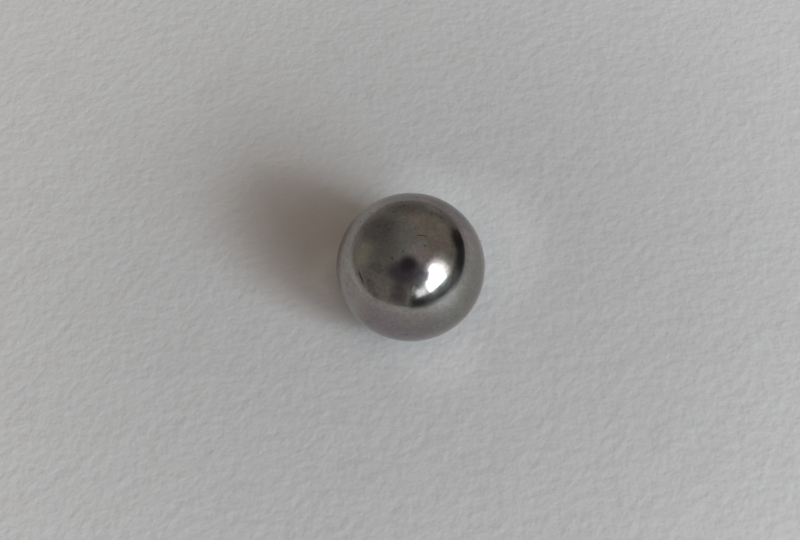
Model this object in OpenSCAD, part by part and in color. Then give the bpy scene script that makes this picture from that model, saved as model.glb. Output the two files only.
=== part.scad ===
// Steel ball
// A solid ball of hardened steel, ground and polished all over.
// It is one piece, with no flat, hole or seam.
// Dimensions are in millimetres, and the origin is the centre of the ball.

/* [Ball] */
// Diameter of the ball
ball_d = 12.7; // [1:0.1:60]

/* [Hidden] */

// Polished steel, a little dulled by handling
steel_grey = [0.38, 0.357, 0.345];

// Steps round a full circle, for a smooth preview
$fn = 180;

// The ball itself, round on every axis
module ball() {
    color(steel_grey)
        sphere(d = ball_d);
}

ball();
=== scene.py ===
"""Steel ball: a polished, lightly handled ball on a pale board, beside a tall window in a dim room."""

import math
from collections import namedtuple

import bpy
import numpy as np
from mathutils import Matrix, Vector


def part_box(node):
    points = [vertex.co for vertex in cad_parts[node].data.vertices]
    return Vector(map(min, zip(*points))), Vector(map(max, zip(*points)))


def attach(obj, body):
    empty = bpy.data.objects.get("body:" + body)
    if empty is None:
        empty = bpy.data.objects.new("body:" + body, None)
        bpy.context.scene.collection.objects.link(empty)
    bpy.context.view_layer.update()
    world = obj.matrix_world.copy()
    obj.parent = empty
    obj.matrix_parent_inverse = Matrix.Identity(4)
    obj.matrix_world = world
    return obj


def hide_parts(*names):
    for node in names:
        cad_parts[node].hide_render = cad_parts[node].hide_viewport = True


bl_info = {
    "name": "Steel Ball",
    "version": (1, 0, 0),
    "blender": (4, 5, 0),
    "location": "3D View > Sidebar > Steel Ball",
    "description": "Makes a polished steel ball with its wear, and sets it on a board beside a window",
    "category": "Add Mesh",
}

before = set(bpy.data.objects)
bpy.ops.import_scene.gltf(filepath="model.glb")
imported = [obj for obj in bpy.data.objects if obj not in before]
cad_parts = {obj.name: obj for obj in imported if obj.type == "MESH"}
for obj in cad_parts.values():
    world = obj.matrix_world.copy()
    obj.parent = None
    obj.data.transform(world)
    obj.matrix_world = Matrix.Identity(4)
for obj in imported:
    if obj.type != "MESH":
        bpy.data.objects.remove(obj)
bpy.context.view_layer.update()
LOWEST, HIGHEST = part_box("ball")
CENTRE = (LOWEST + HIGHEST) / 2
BALL_RADIUS = (HIGHEST - LOWEST).z / 2

MILLIMETRE = 0.001
WEAR = "wear"  # the ball's own attribute: 0 on sound steel, 1 at the bottom of a nick full of grime

# What a thin film on the polish multiplies the steel's colour by, from one patch to the next
FILM_TINTS = ((0.965, 1.025, 0.985), (1.015, 0.975, 1.015))

# How large the lumps of each pattern on the steel are
HANDLING_LUMPS = 3.4 * MILLIMETRE
HUE_LUMPS = 1.3 * MILLIMETRE
FILM_LUMPS = 0.7 * MILLIMETRE
GRAIN_LUMPS = 0.28 * MILLIMETRE

# Dots of dirt on the film: how far apart they are, how large they are, and the azimuth and elevation at which
# they are darkest, in degrees
DOT_SPACING = 0.74 * MILLIMETRE
DOT_RADIUS = 0.15 * MILLIMETRE
DARKEST_DOTS = (110, 35)

# Hairline scratches: how far apart they lie, how large the patches that have them are, how each of the two
# sets is turned, in radians, and how deep every scratch is
HAIRLINE_LUMPS = 1.7 * MILLIMETRE
HAIRLINE_PATCHES = 3.1 * MILLIMETRE
HAIRLINE_TURNS = ((0.5, 0.3, 0.9), (1.9, 1.1, 0.2))
SCRATCH_DEPTH = 0.00015 * MILLIMETRE
LONG_SCRATCH_STRENGTH = 1.5  # of the two long scratches, where a hairline has 1

# The board's paint: how large the lumps of its tone, of its fine texture and of its coarse texture are
TONE_LUMPS = 9 * MILLIMETRE
FINE_PEEL = 0.8 * MILLIMETRE
COARSE_PEEL = 2.6 * MILLIMETRE
BOARD_POINTS = 65  # grid points along each edge of the board, an odd number so that one is in the middle

# What the mottled walls of the room multiply their light by, from one patch to the next
WALL_MOTTLE = ((0.72, 0.72, 0.72), (1.28, 1.28, 1.28))

# Inputs of Blender's Mix node when it mixes colours, and its colour output
MIX_FIRST, MIX_SECOND, MIX_RESULT = 6, 7, 2

# A nick in the steel: where its middle is on the ball, in degrees, its length, width and depth, the direction
# it runs in, in degrees from the ball's local east, and how much grime it holds, from 0 to 1
Nick = namedtuple("Nick", "azimuth elevation length width depth heading grime")

KNOWN_NICKS = (
    Nick(-30, 78.4, 0.70 * MILLIMETRE, 0.08 * MILLIMETRE, 0.004 * MILLIMETRE, 67, 0.8),
    Nick(110, 69.7, 0.26 * MILLIMETRE, 0.22 * MILLIMETRE, 0.006 * MILLIMETRE, 20, 0.6),
    Nick(156, 67.9, 0.24 * MILLIMETRE, 0.20 * MILLIMETRE, 0.003 * MILLIMETRE, 0, 0.6),
    Nick(155, 73.5, 0.24 * MILLIMETRE, 0.20 * MILLIMETRE, 0.003 * MILLIMETRE, 0, 0.55),
    Nick(165, 77.1, 0.20 * MILLIMETRE, 0.18 * MILLIMETRE, 0.002 * MILLIMETRE, 0, 0.5),
    Nick(145, 68.3, 0.20 * MILLIMETRE, 0.16 * MILLIMETRE, 0.002 * MILLIMETRE, 0, 0.4),
    Nick(-159, 72.7, 0.22 * MILLIMETRE, 0.18 * MILLIMETRE, 0.002 * MILLIMETRE, 0, 0.35),
    Nick(-124, 66.1, 0.34 * MILLIMETRE, 0.20 * MILLIMETRE, 0.003 * MILLIMETRE, 25, 0.7),
    Nick(-143, 58.7, 0.22 * MILLIMETRE, 0.16 * MILLIMETRE, 0.003 * MILLIMETRE, 0, 0.5),
    Nick(159, 54.4, 0.24 * MILLIMETRE, 0.18 * MILLIMETRE, 0.003 * MILLIMETRE, 90, 0.5),
    Nick(133, 50.0, 0.30 * MILLIMETRE, 0.20 * MILLIMETRE, 0.005 * MILLIMETRE, 83, 0.7),
    Nick(104, 48.1, 0.24 * MILLIMETRE, 0.16 * MILLIMETRE, 0.003 * MILLIMETRE, 55, 0.5),
    Nick(-144, 55.5, 0.21 * MILLIMETRE, 0.15 * MILLIMETRE, 0.005 * MILLIMETRE, 60, 0.55),
    Nick(-149, 39.9, 1.35 * MILLIMETRE, 0.25 * MILLIMETRE, 0.004 * MILLIMETRE, 22, 0.6),
    Nick(-128, 35.3, 0.50 * MILLIMETRE, 0.40 * MILLIMETRE, 0.004 * MILLIMETRE, 150, 0.25),
    Nick(-92, 46.7, 0.20 * MILLIMETRE, 0.15 * MILLIMETRE, 0.001 * MILLIMETRE, 10, 0.6),
    Nick(39, 37.0, 0.26 * MILLIMETRE, 0.17 * MILLIMETRE, 0.005 * MILLIMETRE, 75, 0.5),
    Nick(27, 38.0, 0.30 * MILLIMETRE, 0.18 * MILLIMETRE, 0.005 * MILLIMETRE, 82, 0.5),
    Nick(22, 34.1, 0.34 * MILLIMETRE, 0.20 * MILLIMETRE, 0.005 * MILLIMETRE, 77, 0.5),
    Nick(151.5, 26.0, 0.90 * MILLIMETRE, 0.32 * MILLIMETRE, 0.006 * MILLIMETRE, 26, 0.65),
    Nick(163, 21.0, 1.20 * MILLIMETRE, 0.30 * MILLIMETRE, 0.006 * MILLIMETRE, 28, 0.45),
    Nick(-137, 4.7, 0.22 * MILLIMETRE, 0.16 * MILLIMETRE, 0.005 * MILLIMETRE, 132, 0.45),
    Nick(-135, -6.4, 0.32 * MILLIMETRE, 0.18 * MILLIMETRE, 0.005 * MILLIMETRE, 124, 0.5),
    Nick(-103, -11.0, 0.30 * MILLIMETRE, 0.20 * MILLIMETRE, 0.005 * MILLIMETRE, 160, 0.6),
)

# The width of the narrowest of the scattered nicks
SPECK_WIDTH = 0.10 * MILLIMETRE

# A nick shapes only the points whose direction from the ball's middle has at least this cosine with its own
NICK_REACH = 0.9

# A place where the polish has another tone, partly smudges and partly painted reflection, lighter or darker
# where the ball mirrors lighter or darker parts of the room and the board: its middle on the ball and its
# half width, in degrees, and what it multiplies the steel's colour by
SmudgeAndReflection = namedtuple("SmudgeAndReflection", "azimuth elevation half_width tint")

SMUDGES_AND_PAINTED_REFLECTIONS = (
    SmudgeAndReflection(28, 40, 16, (0.80, 0.77, 0.79)),
    SmudgeAndReflection(74, 49, 22, (0.83, 0.79, 0.81)),
    SmudgeAndReflection(-120, 6, 18, (0.97, 0.91, 0.98)),
    SmudgeAndReflection(-136, -2, 6, (0.88, 0.82, 0.86)),
    SmudgeAndReflection(-103, -6, 14, (0.93, 0.95, 0.99)),
    SmudgeAndReflection(-74, -8, 22, (0.88, 0.89, 0.92)),
    SmudgeAndReflection(-58, 20, 14, (0.97, 1.00, 0.96)),
    SmudgeAndReflection(-25, 26, 15, (1.03, 1.08, 1.05)),
    SmudgeAndReflection(4, 33, 13, (1.06, 1.05, 1.06)),
    # Painted light: lightens the ball's left side, where it mirrors the board's shadow
    SmudgeAndReflection(-163, 16, 24, (1.22, 1.20, 1.18)),
    SmudgeAndReflection(-153, 27, 6, (0.88, 0.88, 0.88)),
    SmudgeAndReflection(-140, 54, 4, (0.82, 0.80, 0.74)),
    SmudgeAndReflection(-131, 37, 6, (0.84, 0.81, 0.79)),
    # Painted reflection: a lighter spot where the ball mirrors the room
    SmudgeAndReflection(-116, 37, 6, (1.15, 1.14, 1.13)),
)

# A long fine scratch: its middle on the ball, in degrees, its length and width, and the direction it runs in,
# in degrees from the ball's local east
Scratch = namedtuple("Scratch", "azimuth elevation length width heading")

KNOWN_SCRATCHES = (
    Scratch(-91.5, 44.0, 1.15 * MILLIMETRE, 0.50 * MILLIMETRE, 110),
    Scratch(-97.0, 36.0, 0.90 * MILLIMETRE, 0.34 * MILLIMETRE, 106),
)

# A patch of tone on the room's walls: its middle, half width and half height, in degrees as seen from the
# ball, how square it is (2 is an oval), how soft its edge is, as a share of its half size, and its light
Patch = namedtuple("Patch", "azimuth elevation half_width half_height squareness softness light")

ROOM_PATCHES = {
    "warm_wall": Patch(40, 41, 34, 24, 2, 0.5, (0.290, 0.256, 0.217)),
    "rosy_wall": Patch(-36, 71, 20, 16, 2, 0.6, (0.345, 0.308, 0.306)),
    "brown_wall": Patch(0, 46, 14, 19, 2, 0.7, (0.250, 0.226, 0.188)),
    "olive_shelf": Patch(161, 18, 15, 17, 2, 0.6, (0.306, 0.298, 0.243)),
    "dim_wall": Patch(163, 55, 32, 19, 2, 0.9, (0.172, 0.165, 0.152)),
    "grey_wall": Patch(127, 32, 18.5, 23, 2, 0.6, (0.140, 0.130, 0.132)),
    "low_wall": Patch(-137, 14, 22, 10, 2, 0.8, (0.245, 0.238, 0.210)),
    "pale_post": Patch(-98, 14, 2.4, 14, 4, 0.5, (0.270, 0.280, 0.270)),
    "dark_post": Patch(-115, 18, 9.5, 20, 3, 0.5, (0.116, 0.105, 0.108)),
    "hood_haze": Patch(-80, 46, 18, 17, 2, 0.6, (0.140, 0.133, 0.168)),
    "hood_front": Patch(-117, 51, 21, 15, 2, 0.5, (0.082, 0.077, 0.090)),
    "hood_top": Patch(-98, 66.5, 14, 12, 2, 0.45, (0.041, 0.036, 0.046)),
    "curtain_edge": Patch(-20, 34, 9, 14, 2, 0.9, (0.500, 0.490, 0.460)),
    "curtain": Patch(-31, 32, 7.5, 13, 2, 0.8, (2.50, 2.52, 2.45)),
    "curtain_top": Patch(-42, 48, 10, 5, 2, 0.8, (1.10, 1.12, 1.16)),
}

# A band low on the walls: its middle and half width, its top, and how soft its ends and its top are, all in
# degrees as seen from the ball, and its light
Band = namedtuple("Band", "azimuth half_width top end_softness top_softness light")

LOW_BANDS = {
    "far_table": Band(150, 108, 4, 12, 8, (0.262, 0.259, 0.238)),
    "side_table": Band(62, 12, 8, 8, 6, (0.320, 0.315, 0.290)),
    "skirting": Band(-32, 65, 13, 4, 5, (0.040, 0.040, 0.046)),
    "sill": Band(-44, 26, 15, 9, 4, (0.155, 0.157, 0.172)),
    "dark_sill": Band(-59, 11, 3, 6, 3, (0.010, 0.010, 0.012)),
    "dark_skirting": Band(10, 22, 15, 8, 6, (0.036, 0.036, 0.036)),
    "dark_corner": Band(18, 9, 20, 5, 5, (0.026, 0.026, 0.026)),
}

# A pane of the window: its edges, in degrees from the window's middle as seen from the ball, and its light
Pane = namedtuple("Pane", "left right bottom top light")

WINDOW_PANES = {
    "window_crown": Pane(-7.8, 4.4, 14.0, 17.0, (6.2, 7.1, 7.8)),
    "window_top": Pane(-9.0, 5.8, 6.0, 14.0, (8.0, 9.2, 10.1)),
    "window_middle": Pane(-9.0, 4.8, -1.0, 6.0, (30.8, 35.2, 38.6)),
    "window_side": Pane(4.8, 9.8, -1.0, 6.0, (11.2, 12.8, 14.0)),
    "window_slope": Pane(5.8, 9.8, 6.0, 9.6, (6.2, 7.1, 7.8)),
    "window_low": Pane(-9.0, 20.3, -10.2, -1.0, (14.5, 16.5, 18.2)),
    "window_corner": Pane(9.8, 19.5, -1.0, 5.2, (4.6, 5.3, 5.8)),
    "window_foot": Pane(13.9, 22.8, -12.0, -10.2, (8.0, 9.1, 10.0)),
    "window_far": Pane(25.3, 39.8, -12.7, 1.2, (1.85, 2.10, 2.14)),
}

# A spot of painted light, where the board is painted paler beside the ball: its middle and its reach, in
# radii of the ball, and how much paler
Spot = namedtuple("Spot", "east north reach share")

PAINTED_LIGHT_SPOTS = (
    Spot(0.85, 0.85, 1.5, 0.42),
    Spot(0.30, 1.75, 0.8, 0.25),
    Spot(-1.00, 0.62, 0.6, 0.50),
    Spot(0.20, -0.80, 0.8, 0.30),
)


class Signal:
    """A node's output socket. Arithmetic on it adds Math nodes to the same tree."""

    def __init__(self, nodes, socket):
        self.nodes = nodes
        self.socket = socket

    def math(self, operation, first, second=0.0):
        """The result of a Math node on one or two values."""
        return self.nodes.add("ShaderNodeMath", {"operation": operation}, {0: first, 1: second})

    def __add__(self, other):
        return self.math("ADD", self, other)

    def __sub__(self, other):
        return self.math("SUBTRACT", self, other)

    def __rsub__(self, other):
        return self.math("SUBTRACT", other, self)

    def __mul__(self, other):
        return self.math("MULTIPLY", self, other)

    def __truediv__(self, other):
        return self.math("DIVIDE", self, other)

    def __pow__(self, other):
        return self.math("POWER", self, other)

    def __abs__(self):
        return self.math("ABSOLUTE", self)

    __radd__ = __add__
    __rmul__ = __mul__


class Nodes:
    """The node tree of a material or of the world, emptied and ready to be built."""

    def __init__(self, owner):
        owner.use_nodes = True
        self.tree = owner.node_tree
        self.tree.nodes.clear()

    def add(self, kind, settings=None, sockets=None, output=0):
        """Adds a node: first its settings, then a value or a link for each input, by name or number."""
        node = self.tree.nodes.new(kind)
        for name, value in (settings or {}).items():
            setattr(node, name, value)
        for name, value in (sockets or {}).items():
            if isinstance(value, Signal):
                self.tree.links.new(value.socket, node.inputs[name])
            else:
                node.inputs[name].default_value = value
        return Signal(self, node.outputs[output]) if node.outputs else None

    def mix(self, share, first, second, way="MIX"):
        """A colour between two others, or the first one blended with the second in another way."""
        settings = {"data_type": "RGBA", "blend_type": way}
        sockets = {"Factor": share, MIX_FIRST: opaque(first), MIX_SECOND: opaque(second)}
        return self.add("ShaderNodeMix", settings, sockets, MIX_RESULT)

    def soft_step(self, value, start, end):
        """Rises smoothly from 0 where value is start to 1 where it is end, which may be the smaller one."""
        settings = {"interpolation_type": "SMOOTHSTEP"}
        sockets = {"Value": value, "From Min": start, "From Max": end}
        return self.add("ShaderNodeMapRange", settings, sockets)

    def noise(self, place, lumps, detail=2.0, roughness=0.5):
        """Soft noise about 0.5, with lumps about as large as said, in the units of the place."""
        sockets = {"Vector": place, "Scale": 1 / lumps, "Detail": detail, "Roughness": roughness}
        return self.add("ShaderNodeTexNoise", None, sockets)

    def dots(self, place, spacing, radius):
        """Round dots at random, about so far apart: 1 in the middle of each and 0 outside its radius."""
        sockets = {"Vector": place, "Scale": 1 / spacing}
        distance = self.add("ShaderNodeTexVoronoi", None, sockets, "Distance")
        edge = radius / spacing
        return self.soft_step(distance, edge, 0.4 * edge)

    def split(self, vector):
        """A vector's three numbers."""
        first = self.add("ShaderNodeSeparateXYZ", None, {"Vector": vector})
        return [Signal(self, output) for output in first.socket.node.outputs]

    def vector_number(self, operation, first, second=(0.0, 0.0, 0.0)):
        """The number that Vector Math makes of one or two vectors, such as a length or a distance."""
        return self.add("ShaderNodeVectorMath", {"operation": operation}, {0: first, 1: second}, "Value")

    def dot(self, vector, fixed):
        """How far a vector reaches along a fixed direction."""
        return self.vector_number("DOT_PRODUCT", vector, fixed)


def opaque(colour):
    """A colour's three numbers with an alpha of 1, or a signal as it is."""
    return colour if isinstance(colour, Signal) else (*colour, 1.0)


def direction(azimuth, elevation):
    """The unit vector at an azimuth, counted from +X towards +Y, and an elevation, both in degrees."""
    around = math.radians(azimuth)
    above = math.radians(elevation)
    return Vector((math.cos(above) * math.cos(around), math.cos(above) * math.sin(around), math.sin(above)))


def outlook(azimuth, elevation):
    """The direction outwards from the ball, and the directions to the right and up of someone facing it."""
    outwards = direction(azimuth, elevation)
    right = outwards.cross(Vector((0, 0, 1))).normalized()
    return outwards, right, right.cross(outwards)


def add_object(name, data):
    """Links a new object with this data into the scene, at the origin."""
    made = bpy.data.objects.new(name, data)
    bpy.context.scene.collection.objects.link(made)
    return made


def mesh_from_grid(name, points, quads):
    """A smooth mesh from an array of points and an array of four-cornered faces."""
    mesh = bpy.data.meshes.new(name)
    mesh.from_pydata(points, [], quads)
    mesh.polygons.foreach_set("use_smooth", np.ones(len(quads), dtype=bool))
    mesh.update()
    return mesh


def grid_quads(rows, columns):
    """Corner numbers of every quad in a grid of points, rows by columns, wound towards rows x columns."""
    corner = np.arange(rows * columns).reshape(rows, columns)
    quads = (corner[:-1, :-1], corner[1:, :-1], corner[1:, 1:], corner[:-1, 1:])
    return np.stack(quads, axis=-1).reshape(-1, 4)


def even_directions(steps):
    """Unit vectors spread evenly over the sphere, with the quads that join them.

    Each of a cube's six sides carries the points (1, tan u, tan v), with u and v from -45 to 45 degrees,
    and each point is pulled in to length one. The sides' shared edges are then merged.
    """
    tangent = np.tan(np.linspace(-math.pi / 4, math.pi / 4, steps + 1))
    u, v = np.meshgrid(tangent, tangent, indexing="ij")
    one = np.ones_like(u)
    sides = []
    for axis in range(3):
        sides.append(np.roll(np.stack((one, u, v), axis=-1), axis, axis=-1))
        sides.append(np.roll(np.stack((-one, v, u), axis=-1), axis, axis=-1))
    points = np.concatenate(sides).reshape(-1, 3)
    points /= np.linalg.norm(points, axis=1, keepdims=True)
    side_quads = grid_quads(steps + 1, steps + 1)
    side_points = (steps + 1) ** 2
    quads = np.concatenate([side_quads + side * side_points for side in range(6)])
    _, kept, merged = np.unique(np.round(points, 7) + 0.0, axis=0, return_index=True, return_inverse=True)
    return points[kept], merged.reshape(-1)[quads]


def nick_axes(nick):
    """Unit vectors of a nick: out through its middle, along it and across it."""
    outwards, right, up = outlook(nick.azimuth, nick.elevation)
    turn = math.radians(nick.heading)
    along = right * math.cos(turn) + up * math.sin(turn)
    across = outwards.cross(along)
    return np.array(outwards), np.array(along), np.array(across)


def gather_round(directions, nick, radius, pull=0.72, reach=3.2):
    """Draws grid points towards a nick, so that it gets many small faces.

    A point moves along the line to the nick's middle by pull times its distance, times the bell curve
    exp(-(distance / reach)^2), with reach counted in nick lengths. It stays on the sphere.
    """
    middle, _, _ = nick_axes(nick)
    offset = directions - middle
    distance = np.linalg.norm(offset, axis=1, keepdims=True) * radius
    bell = np.exp(-((distance / (reach * nick.length)) ** 2))
    moved = directions - offset * (pull * bell)
    return moved / np.linalg.norm(moved, axis=1, keepdims=True)


def nick_depth(directions, nick, radius):
    """How deep a nick is at each point, as a share of its full depth.

    Along and across are distances from its middle. The hollow is exp(-q^2), where q^2 is
    (along / half length)^4 + (across / half width)^2, so it has blunt ends and a rounded floor.
    Points beyond NICK_REACH, such as those on the far side of the ball, are left out.
    """
    middle, along, across = nick_axes(nick)
    near = directions @ middle > NICK_REACH
    far_along = directions @ along * radius / (nick.length / 2)
    far_across = directions @ across * radius / (nick.width / 2)
    return np.exp(-(far_along**4 + far_across**2)) * near


def scattered_nicks(count, seed):
    """Small nicks at random over the whole ball, most of them no more than specks.

    The width is SPECK_WIDTH times 1 + u^2, the length is the width times 1 + 2 u^3, and the depth is 1 to 3
    hundredths of the width, where each u is a random number from 0 to 1.
    """
    chance = np.random.default_rng(seed)
    azimuth = chance.uniform(-180, 180, count)
    elevation = np.degrees(np.arcsin(chance.uniform(-0.95, 0.95, count)))
    width = SPECK_WIDTH * (1 + chance.random(count) ** 2)
    length = width * (1 + 2 * chance.random(count) ** 3)
    depth = width * chance.uniform(0.01, 0.03, count)
    heading = chance.uniform(0, 180, count)
    grime = chance.uniform(0.2, 0.6, count)
    columns = (azimuth, elevation, length, width, depth, heading, grime)
    return [Nick(*values) for values in zip(*columns, strict=True)]


def ball_mesh(settings):
    """The ball's surface: radius times an even set of directions, pressed in by the depth of each nick."""
    directions, quads = even_directions(settings.face_steps)
    nicks = [*KNOWN_NICKS, *scattered_nicks(settings.small_nicks, settings.seed)]
    for nick in KNOWN_NICKS:
        directions = gather_round(directions, nick, settings.radius)
    wear = np.zeros(len(directions))
    pressed = np.zeros(len(directions))
    for nick in nicks:
        share = nick_depth(directions, nick, settings.radius)
        wear = np.maximum(wear, share * nick.grime)
        pressed = np.maximum(pressed, share * nick.depth)
    points = np.array(CENTRE) + directions * (settings.radius - pressed)[:, None]
    mesh = mesh_from_grid("polished_ball", points, quads)
    mesh.attributes.new(WEAR, "FLOAT", "POINT").data.foreach_set("value", wear.astype(np.float32))
    return mesh


def hairlines(nodes, place, turn):
    """Thin curved scratches: where a noise that is drawn out one way passes through its middle value.

    They show only where a second, larger noise is above its own middle value.
    """
    settings = {"vector_type": "POINT"}
    stretch = (1.0, 0.16, 1.0)
    turned = nodes.add("ShaderNodeMapping", settings, {"Vector": place, "Rotation": turn, "Scale": stretch})
    drawn_out = nodes.noise(turned, HAIRLINE_LUMPS, detail=1.0)
    line = nodes.soft_step(abs(drawn_out - 0.5), 0.009, 0.0)
    patchy = nodes.noise(turned, HAIRLINE_PATCHES, detail=0.0)
    return line * nodes.soft_step(patchy, 0.5, 0.58)


def smudge_and_reflection_mask(nodes, place, tone_patch, film, radius):
    """1 in the middle of a patch of smudges and painted reflection tone, fading to 0 past its half width,
    with an edge frayed by the film.
    """
    nearness = nodes.dot(place, direction(tone_patch.azimuth, tone_patch.elevation) / radius) + 0.1 * (film - 0.5)
    edge = math.cos(math.radians(1.5 * tone_patch.half_width))
    core = math.cos(math.radians(0.5 * tone_patch.half_width))
    return nodes.soft_step(nearness, edge, core)


def scratch_mask(nodes, place, scratch, radius):
    """1 along the middle of a scratch, falling to 0 at its sides and its ends."""
    middle, along, across = nick_axes(scratch)
    side = nodes.soft_step(abs(nodes.dot(place, across)), scratch.width / 2, 0.0)
    end = nodes.soft_step(abs(nodes.dot(place, along)), scratch.length / 2, scratch.length / 4)
    return side * end * nodes.soft_step(nodes.dot(place, middle), 0.0, radius / 2)


def end_material(nodes, height, distance, sockets):
    """Ends a material: a Principled shader with these sockets, in relief by the height times the distance."""
    relief = nodes.add("ShaderNodeBump", None, {"Strength": 1.0, "Distance": distance, "Height": height})
    shader = nodes.add("ShaderNodeBsdfPrincipled", None, {**sockets, "Normal": relief})
    nodes.add("ShaderNodeOutputMaterial", None, {"Surface": shader})


def polished_steel(settings):
    """Ground and polished steel, hazy in patches from handling, with scratches, dots, grimy nicks, and
    patches of smudges and painted reflection tone.
    """
    material = bpy.data.materials.new("polished_steel")
    nodes = Nodes(material)
    place = nodes.add("ShaderNodeTexCoord", output="Object")
    wear = nodes.add("ShaderNodeAttribute", {"attribute_name": WEAR}, output="Fac")
    handling = nodes.soft_step(nodes.noise(place, HANDLING_LUMPS, 4.0, 0.62), 0.42, 0.66)
    hue = nodes.soft_step(nodes.noise(place, HUE_LUMPS, 4.0, 0.65), 0.35, 0.65)
    film = nodes.noise(place, FILM_LUMPS, 4.0, 0.6)
    grain = nodes.noise(place, GRAIN_LUMPS, 3.5, 0.75)
    specks = nodes.soft_step(grain, 0.64, 0.72)

    # Dots lie only where the film is thick, and are darker on one side of the ball
    dots = nodes.dots(place, DOT_SPACING, DOT_RADIUS) * nodes.soft_step(film, 0.40, 0.60)
    dark_side = nodes.soft_step(nodes.dot(place, direction(*DARKEST_DOTS) / settings.radius), -0.2, 0.6)
    dirt = nodes.soft_step(wear, 0.05, 0.8) + dots * (0.35 + 0.4 * dark_side)

    scratches = sum(hairlines(nodes, place, turn) for turn in HAIRLINE_TURNS)
    for scratch in KNOWN_SCRATCHES:
        scratches = scratches + LONG_SCRATCH_STRENGTH * scratch_mask(nodes, place, scratch, settings.radius)

    # The colour: handled where the patches, the film or the grain say so, then smudged and given painted
    # reflection tone, tinted and dirtied
    handled = 0.4 * handling + 1.2 * (film - 0.33) + 6.0 * (grain - 0.45)
    steel = nodes.mix(handled, settings.steel, settings.handled_steel)
    for tone_patch in SMUDGES_AND_PAINTED_REFLECTIONS:
        mask = smudge_and_reflection_mask(nodes, place, tone_patch, film, settings.radius)
        steel = nodes.mix(mask, steel, tone_patch.tint, "MULTIPLY")
    steel = nodes.mix(1.0, steel, nodes.mix(hue, *FILM_TINTS), "MULTIPLY")
    steel = nodes.mix(dirt + 0.35 * specks, steel, settings.grime)

    haze = 0.06 * handling + 0.06 * film + 0.08 * dirt + 0.08 * scratches
    height = settings.waviness * (film + 0.15 * grain) - SCRATCH_DEPTH * scratches
    sockets = {
        "Base Color": steel,
        "Metallic": 1.0,
        "Roughness": settings.roughness + haze,
        "Specular Tint": opaque(settings.edge_tint),
    }
    end_material(nodes, height, 1.0, sockets)
    return material


def painted_board(settings):
    """Matt pale paint with a fine orange-peel texture, with painted light away from the middle and in a few
    spots, and painted shade far off, below the window and in its hollows.
    """
    material = bpy.data.materials.new("painted_board")
    nodes = Nodes(material)
    place = nodes.add("ShaderNodeTexCoord", output="Object")
    length = nodes.vector_number("LENGTH", place)

    # Painted light: clean is how much paler the board is painted, more so away from the ball, but not far to
    # the right, and in the spots beside the ball
    clean = nodes.soft_step(length, 2 * BALL_RADIUS, 10 * BALL_RADIUS)
    clean = clean * nodes.soft_step(nodes.dot(place, direction(-5, 0)), 11 * BALL_RADIUS, 5.5 * BALL_RADIUS)
    for spot in PAINTED_LIGHT_SPOTS:
        middle = Vector((spot.east, spot.north, -1)) * BALL_RADIUS
        distance = nodes.vector_number("DISTANCE", place, middle)
        reach = spot.reach * BALL_RADIUS
        clean = clean + spot.share * nodes.soft_step(distance, reach, 0.4 * reach)

    # Painted shade: a darker tone where it is far off, and nearly black below the window, so that the ball
    # mirrors shade there
    far = nodes.soft_step(length, 8 * BALL_RADIUS, 40 * BALL_RADIUS)
    front = nodes.soft_step(nodes.dot(place, direction(-72, 0)), 7 * BALL_RADIUS, 20 * BALL_RADIUS)
    front = front * nodes.soft_step(nodes.dot(place, direction(-15, 0)), 0.0, 8 * BALL_RADIUS)

    tone = nodes.noise(place, TONE_LUMPS, 3.0)
    peel = nodes.noise(place, FINE_PEEL, 2.5, 0.5) + 0.8 * nodes.noise(place, COARSE_PEEL, 1.0)
    # Painted shade: the paint is drawn darker in the hollows of its orange-peel texture, and towards the same
    # colour in random patches of tone
    pores = nodes.soft_step(peel, 0.95, 0.60)
    paint = nodes.mix(clean, settings.board_colour, settings.board_painted_light_colour)
    paint = nodes.mix(far, paint, settings.board_far_shade_colour)
    paint = nodes.mix(front, paint, settings.board_window_shade_colour)
    paint = nodes.mix(0.05 * tone + 0.06 * pores, paint, settings.tone_and_pore_shade_colour)
    sockets = {"Base Color": paint, "Roughness": 0.55, "Specular IOR Level": 0.2}
    end_material(nodes, peel, settings.board_grain, sockets)
    return material


def board_mesh(settings):
    """A round flat board under the ball.

    Squares of grid points (u, v), with u and v from -1 to 1, are drawn out to circles. Each point keeps its
    direction from the middle, and its distance is the board's radius times the square of max(|u|, |v|).
    """
    steps = np.linspace(-1, 1, BOARD_POINTS)
    u, v = np.meshgrid(steps, steps, indexing="ij")
    stretch = np.maximum(abs(u), abs(v)) ** 2 * settings.board_radius / np.maximum(np.hypot(u, v), 1e-9)
    height = np.full_like(u, CENTRE.z - BALL_RADIUS)
    points = np.stack((u * stretch, v * stretch, height), axis=-1).reshape(-1, 3)
    return mesh_from_grid("board", points, grid_quads(*u.shape))


def patch_mask(nodes, sight, patch):
    """1 inside a patch of the room and 0 outside it, with a soft edge.

    Across and up are the line of sight's tangents from the patch's middle, each over the patch's half size.
    Their joint length, with squareness as its power, is 1 on the patch's edge.
    """
    outwards, right, up = outlook(patch.azimuth, patch.elevation)
    forwards = nodes.dot(sight, outwards)
    across = abs(nodes.dot(sight, right) / forwards) / math.tan(math.radians(patch.half_width))
    above = abs(nodes.dot(sight, up) / forwards) / math.tan(math.radians(patch.half_height))
    reach = (across**patch.squareness + above**patch.squareness) ** (1 / patch.squareness)
    inside = nodes.soft_step(reach, 1 + patch.softness, 1 - patch.softness)
    return inside * nodes.soft_step(forwards, 0.05, 0.15)


def band_mask(nodes, around, above, band):
    """1 in a band low on the walls and 0 outside it, from angles round and above the ball in degrees."""
    sockets = {0: around - band.azimuth, 1: 180.0, 2: -180.0}
    offset = abs(nodes.add("ShaderNodeMath", {"operation": "WRAP"}, sockets))
    width = nodes.soft_step(offset, band.half_width + band.end_softness, band.half_width - band.end_softness)
    height = nodes.soft_step(above, band.top + band.top_softness, band.top - band.top_softness)
    return width * height


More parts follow.
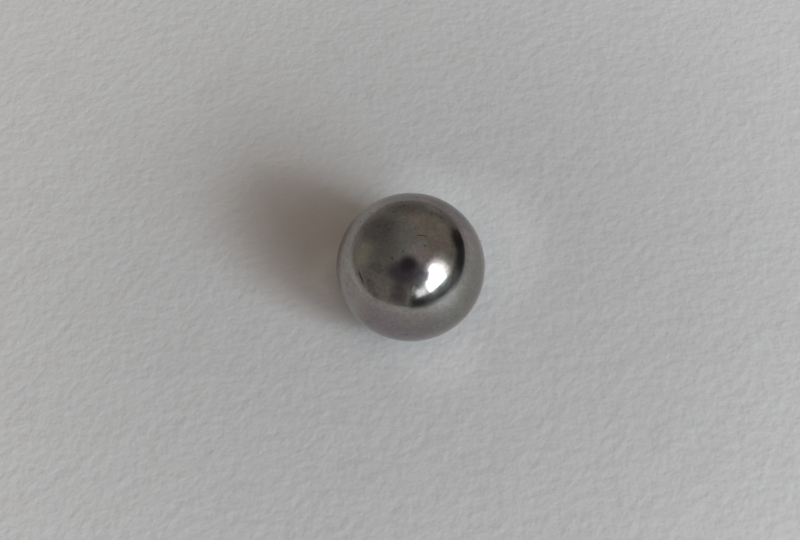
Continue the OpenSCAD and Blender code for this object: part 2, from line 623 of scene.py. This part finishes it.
def dim_room(settings):
    """The world's light: a warm grey room, paler overhead, with patches and low bands of other tones."""
    world = bpy.data.worlds.new("dim_room")
    nodes = Nodes(world)
    sight = nodes.add("ShaderNodeTexCoord", output="Generated")
    east, north, height = nodes.split(sight)
    around = nodes.add("ShaderNodeMath", {"operation": "ARCTAN2"}, {0: north, 1: east}) * math.degrees(1)
    above = nodes.add("ShaderNodeMath", {"operation": "ARCSINE"}, {0: height}) * math.degrees(1)
    light = nodes.mix(nodes.soft_step(above, 10, 90), settings.wall_light, settings.ceiling_light)
    for patch in ROOM_PATCHES.values():
        light = nodes.mix(patch_mask(nodes, sight, patch), light, patch.light)
    for band in LOW_BANDS.values():
        light = nodes.mix(band_mask(nodes, around, above, band), light, band.light)
    mottle = nodes.mix(nodes.noise(sight, 0.35, 3.0, 0.6), *WALL_MOTTLE)
    light = nodes.mix(1.0, light, mottle, "MULTIPLY")
    background = nodes.add("ShaderNodeBackground", None, {"Color": light})
    nodes.add("ShaderNodeOutputWorld", None, {"Surface": background})
    bpy.context.scene.world = world


def add_area_lamp(name, place, size, light, towards):
    """A flat rectangular lamp of this size, facing a point, whose surface gives off this light."""
    level = max(light)
    lamp = bpy.data.lights.new(name, "AREA")
    lamp.shape = "RECTANGLE"
    lamp.size, lamp.size_y = size
    lamp.energy = level * size[0] * size[1] * math.pi
    lamp.color = [part / level for part in light]
    made = add_object(name, lamp)
    turn = (towards - place).to_track_quat("-Z", "Y").to_matrix().to_4x4()
    made.matrix_world = Matrix.Translation(place) @ turn
    made.visible_camera = False
    return made


def add_window(settings):
    """The window's panes, all in one leaning plane that faces the ball."""
    azimuth = math.degrees(settings.window_azimuth)
    elevation = math.degrees(settings.window_elevation)
    outwards, right, up = outlook(azimuth, elevation)
    for name, pane in WINDOW_PANES.items():
        left_edge, right_edge, low_edge, high_edge = (
            settings.window_distance * math.tan(math.radians(angle)) for angle in pane[:4]
        )
        across = (left_edge + right_edge) / 2
        above = (low_edge + high_edge) / 2
        place = CENTRE + outwards * settings.window_distance + right * across + up * above
        size = (right_edge - left_edge, high_edge - low_edge)
        light = [part * settings.window_level for part in pane.light]
        add_area_lamp(name, place, size, light, place - outwards)


def add_fill(settings):
    """A soft lamp behind the camera, facing the ball, that lights the board and isn't mirrored."""
    place = CENTRE + direction(-90, math.degrees(settings.view_elevation)) * settings.fill_distance
    size = (settings.fill_size, settings.fill_size)
    lamp = add_area_lamp("fill", place, size, settings.fill_light, CENTRE)
    lamp.visible_glossy = False


def add_camera(settings):
    """The camera, aimed a little to one side of the ball, tilted down at it and rolled about its own axis."""
    lens = bpy.data.cameras.new("camera")
    lens.lens = settings.lens
    lens.clip_start = BALL_RADIUS / 10
    lens.clip_end = settings.board_radius * 20
    camera = add_object("camera", lens)
    tilt = Matrix.Rotation(math.pi / 2 - settings.view_elevation, 4, "X")
    turn = tilt @ Matrix.Rotation(-settings.view_roll, 4, "Z")
    right, up, back = (turn.col[axis].to_3d() for axis in range(3))
    aim = CENTRE - (right * settings.aim_right + up * settings.aim_up) * BALL_RADIUS
    camera.matrix_world = Matrix.Translation(aim + back * settings.view_distance * BALL_RADIUS) @ turn
    bpy.context.scene.camera = camera


class BallSettings(bpy.types.PropertyGroup):
    """Size and finish of the ball."""

    radius: bpy.props.FloatProperty(
        name="Radius",
        description="Radius of the ball, as the packed part has it",
        default=BALL_RADIUS,
        min=0.0005,
        precision=5,
        unit="LENGTH",
    )
    face_steps: bpy.props.IntProperty(
        name="Face steps",
        description="Faces along each edge of the six patches that cover the ball",
        default=126,
        min=16,
        max=128,
    )
    small_nicks: bpy.props.IntProperty(
        name="Small nicks",
        description="How many specks are scattered over the ball, besides the nicks at known places",
        default=110,
        min=0,
        max=200,
    )
    seed: bpy.props.IntProperty(
        name="Seed",
        description="Another number scatters the specks in other places",
        default=197,
    )
    steel: bpy.props.FloatVectorProperty(
        name="Steel",
        description="Colour of the clean polished steel",
        default=(0.380, 0.357, 0.345),
        min=0.0,
        max=1.0,
        subtype="COLOR",
    )
    handled_steel: bpy.props.FloatVectorProperty(
        name="Handled steel",
        description="Colour of the steel where handling has dulled it",
        default=(0.325, 0.297, 0.280),
        min=0.0,
        max=1.0,
        subtype="COLOR",
    )
    grime: bpy.props.FloatVectorProperty(
        name="Grime",
        description="Colour at the bottom of the nicks",
        default=(0.040, 0.037, 0.034),
        min=0.0,
        max=1.0,
        subtype="COLOR",
    )
    edge_tint: bpy.props.FloatVectorProperty(
        name="Edge tint",
        description="Tint of the steel where it is seen at a grazing angle",
        default=(0.90, 0.89, 0.88),
        min=0.0,
        max=1.0,
        subtype="COLOR",
    )
    roughness: bpy.props.FloatProperty(
        name="Roughness",
        description="Roughness of the clean polished steel",
        default=0.088,
        min=0.0,
        max=1.0,
        subtype="FACTOR",
    )
    waviness: bpy.props.FloatProperty(
        name="Waviness",
        description="Height of the faint waves that grinding and polishing leave",
        default=0.005 * MILLIMETRE,
        min=0.0,
        precision=7,
        unit="LENGTH",
    )


class StageSettings(bpy.types.PropertyGroup):
    """The board, the window, the room and the camera."""

    board_radius: bpy.props.FloatProperty(
        name="Board radius",
        description="Radius of the round board that the ball lies on",
        default=90 * BALL_RADIUS,
        min=0.01,
        unit="LENGTH",
    )
    board_colour: bpy.props.FloatVectorProperty(
        name="Board colour",
        description="Colour of the board's paint round the ball",
        default=(0.440, 0.440, 0.440),
        min=0.0,
        max=1.0,
        subtype="COLOR",
    )
    # Painted light: the paler colour that the board is painted away from the ball and in the spots beside it
    board_painted_light_colour: bpy.props.FloatVectorProperty(
        name="Board edge colour",
        description="Colour of the board's paint away from the ball",
        default=(0.600, 0.600, 0.600),
        min=0.0,
        max=1.0,
        subtype="COLOR",
    )
    # Painted shade: the darker colour that the board is painted far from the ball
    board_far_shade_colour: bpy.props.FloatVectorProperty(
        name="Board far colour",
        description="Colour of the board's paint far from the ball",
        default=(0.485, 0.483, 0.468),
        min=0.0,
        max=1.0,
        subtype="COLOR",
    )
    # Painted shade: the nearly black colour that the board is painted below the window, which the ball
    # mirrors
    board_window_shade_colour: bpy.props.FloatVectorProperty(
        name="Board front colour",
        description="Colour of the board where it runs off below the window",
        default=(0.060, 0.058, 0.058),
        min=0.0,
        max=1.0,
        subtype="COLOR",
    )
    # Painted shade in the hollows of the paint's texture, and random patches of tone, draw the paint towards
    # this colour
    tone_and_pore_shade_colour: bpy.props.FloatVectorProperty(
        name="Pore colour",
        description="Colour of the small pores in the paint",
        default=(0.25, 0.245, 0.24),
        min=0.0,
        max=1.0,
        subtype="COLOR",
    )
    board_grain: bpy.props.FloatProperty(
        name="Board grain",
        description="Height of the paint's orange-peel texture",
        default=0.09 * MILLIMETRE,
        min=0.0,
        precision=6,
        unit="LENGTH",
    )
    wall_light: bpy.props.FloatVectorProperty(
        name="Wall light",
        description="Light from the walls of the room",
        default=(0.194, 0.188, 0.162),
        min=0.0,
        subtype="COLOR",
    )
    ceiling_light: bpy.props.FloatVectorProperty(
        name="Ceiling light",
        description="Light from the ceiling",
        default=(0.260, 0.271, 0.245),
        min=0.0,
        subtype="COLOR",
    )
    window_azimuth: bpy.props.FloatProperty(
        name="Window azimuth",
        description="Direction of the window's middle round the ball, counted from +X towards +Y",
        default=math.radians(-45),
        subtype="ANGLE",
    )
    window_elevation: bpy.props.FloatProperty(
        name="Window elevation",
        description="How far above the board's plane the window's middle is seen from the ball",
        default=math.radians(30),
        subtype="ANGLE",
    )
    window_distance: bpy.props.FloatProperty(
        name="Window distance",
        description="Distance from the ball to the window",
        default=0.6,
        min=0.1,
        unit="LENGTH",
    )
    window_level: bpy.props.FloatProperty(
        name="Window level",
        description="Multiplies the light of every pane",
        default=1.0,
        min=0.0,
    )
    fill_light: bpy.props.FloatVectorProperty(
        name="Fill light",
        description="Light of the soft lamp behind the camera, which polished surfaces don't show",
        default=(0.93, 0.66, 0.505),
        min=0.0,
        subtype="COLOR",
    )
    fill_distance: bpy.props.FloatProperty(
        name="Fill distance",
        description="Distance from the ball to the soft lamp behind the camera",
        default=0.5,
        min=0.1,
        unit="LENGTH",
    )
    fill_size: bpy.props.FloatProperty(
        name="Fill size",
        description="Length of each side of the soft lamp behind the camera",
        default=0.5,
        min=0.1,
        unit="LENGTH",
    )
    lens: bpy.props.FloatProperty(
        name="Lens",
        description="Focal length of the camera",
        default=56.0,
        min=10.0,
        unit="CAMERA",
    )
    view_distance: bpy.props.FloatProperty(
        name="View distance",
        description="Distance from the camera to the ball, in radii of the ball",
        default=16.75,
        min=2.0,
    )
    view_elevation: bpy.props.FloatProperty(
        name="View elevation",
        description="How far above the board's plane the camera looks from",
        default=math.radians(61.3),
        subtype="ANGLE",
    )
    view_roll: bpy.props.FloatProperty(
        name="View roll",
        description="How far the camera is rolled clockwise about its line of sight",
        default=math.radians(7.7),
        subtype="ANGLE",
    )
    aim_right: bpy.props.FloatProperty(
        name="Ball right of the middle",
        description="How far right of the picture's middle the ball lies, in radii of the ball",
        default=0.143,
    )
    aim_up: bpy.props.FloatProperty(
        name="Ball above the middle",
        description="How far above the picture's middle the ball lies, in radii of the ball",
        default=0.038,
    )


class STEELBALL_OT_make_stage(bpy.types.Operator):
    """Make the camera, the board, the window and the room"""

    bl_idname = "steel_ball.make_stage"
    bl_label = "Make stage"

    def execute(self, context):
        settings = context.scene.steel_ball_stage
        add_camera(settings)
        board = add_object("board", board_mesh(settings))
        board.data.materials.append(painted_board(settings))
        dim_room(settings)
        add_window(settings)
        add_fill(settings)
        context.scene.view_settings.view_transform = "Standard"
        return {"FINISHED"}


class STEELBALL_OT_make_ball(bpy.types.Operator):
    """Make the polished ball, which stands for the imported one"""

    bl_idname = "steel_ball.make_ball"
    bl_label = "Make ball"

    def execute(self, context):
        settings = context.scene.steel_ball
        ball = add_object("polished_ball", ball_mesh(settings))
        ball.data.materials.append(polished_steel(settings))
        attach(ball, "root")
        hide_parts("ball")
        return {"FINISHED"}


class STEELBALL_PT_panel(bpy.types.Panel):
    """Lists the settings of the ball and the stage, and the operators that make them"""

    bl_label = "Steel Ball"
    bl_space_type = "VIEW_3D"
    bl_region_type = "UI"
    bl_category = "Steel Ball"

    def draw(self, context):
        groups = (
            (context.scene.steel_ball, STEELBALL_OT_make_ball),
            (context.scene.steel_ball_stage, STEELBALL_OT_make_stage),
        )
        for settings, operator in groups:
            box = self.layout.box()
            for name in settings.__annotations__:
                box.prop(settings, name)
            box.operator(operator.bl_idname)


CLASSES = (
    BallSettings,
    StageSettings,
    STEELBALL_OT_make_stage,
    STEELBALL_OT_make_ball,
    STEELBALL_PT_panel,
)


def register():
    for cls in CLASSES:
        bpy.utils.register_class(cls)
    bpy.types.Scene.steel_ball = bpy.props.PointerProperty(type=BallSettings)
    bpy.types.Scene.steel_ball_stage = bpy.props.PointerProperty(type=StageSettings)


def unregister():
    del bpy.types.Scene.steel_ball_stage
    del bpy.types.Scene.steel_ball
    for cls in reversed(CLASSES):
        bpy.utils.unregister_class(cls)


def main():
    """Makes the stage and the ball."""
    register()
    bpy.ops.steel_ball.make_stage()
    bpy.ops.steel_ball.make_ball()


if __name__ == "__main__":
    main()
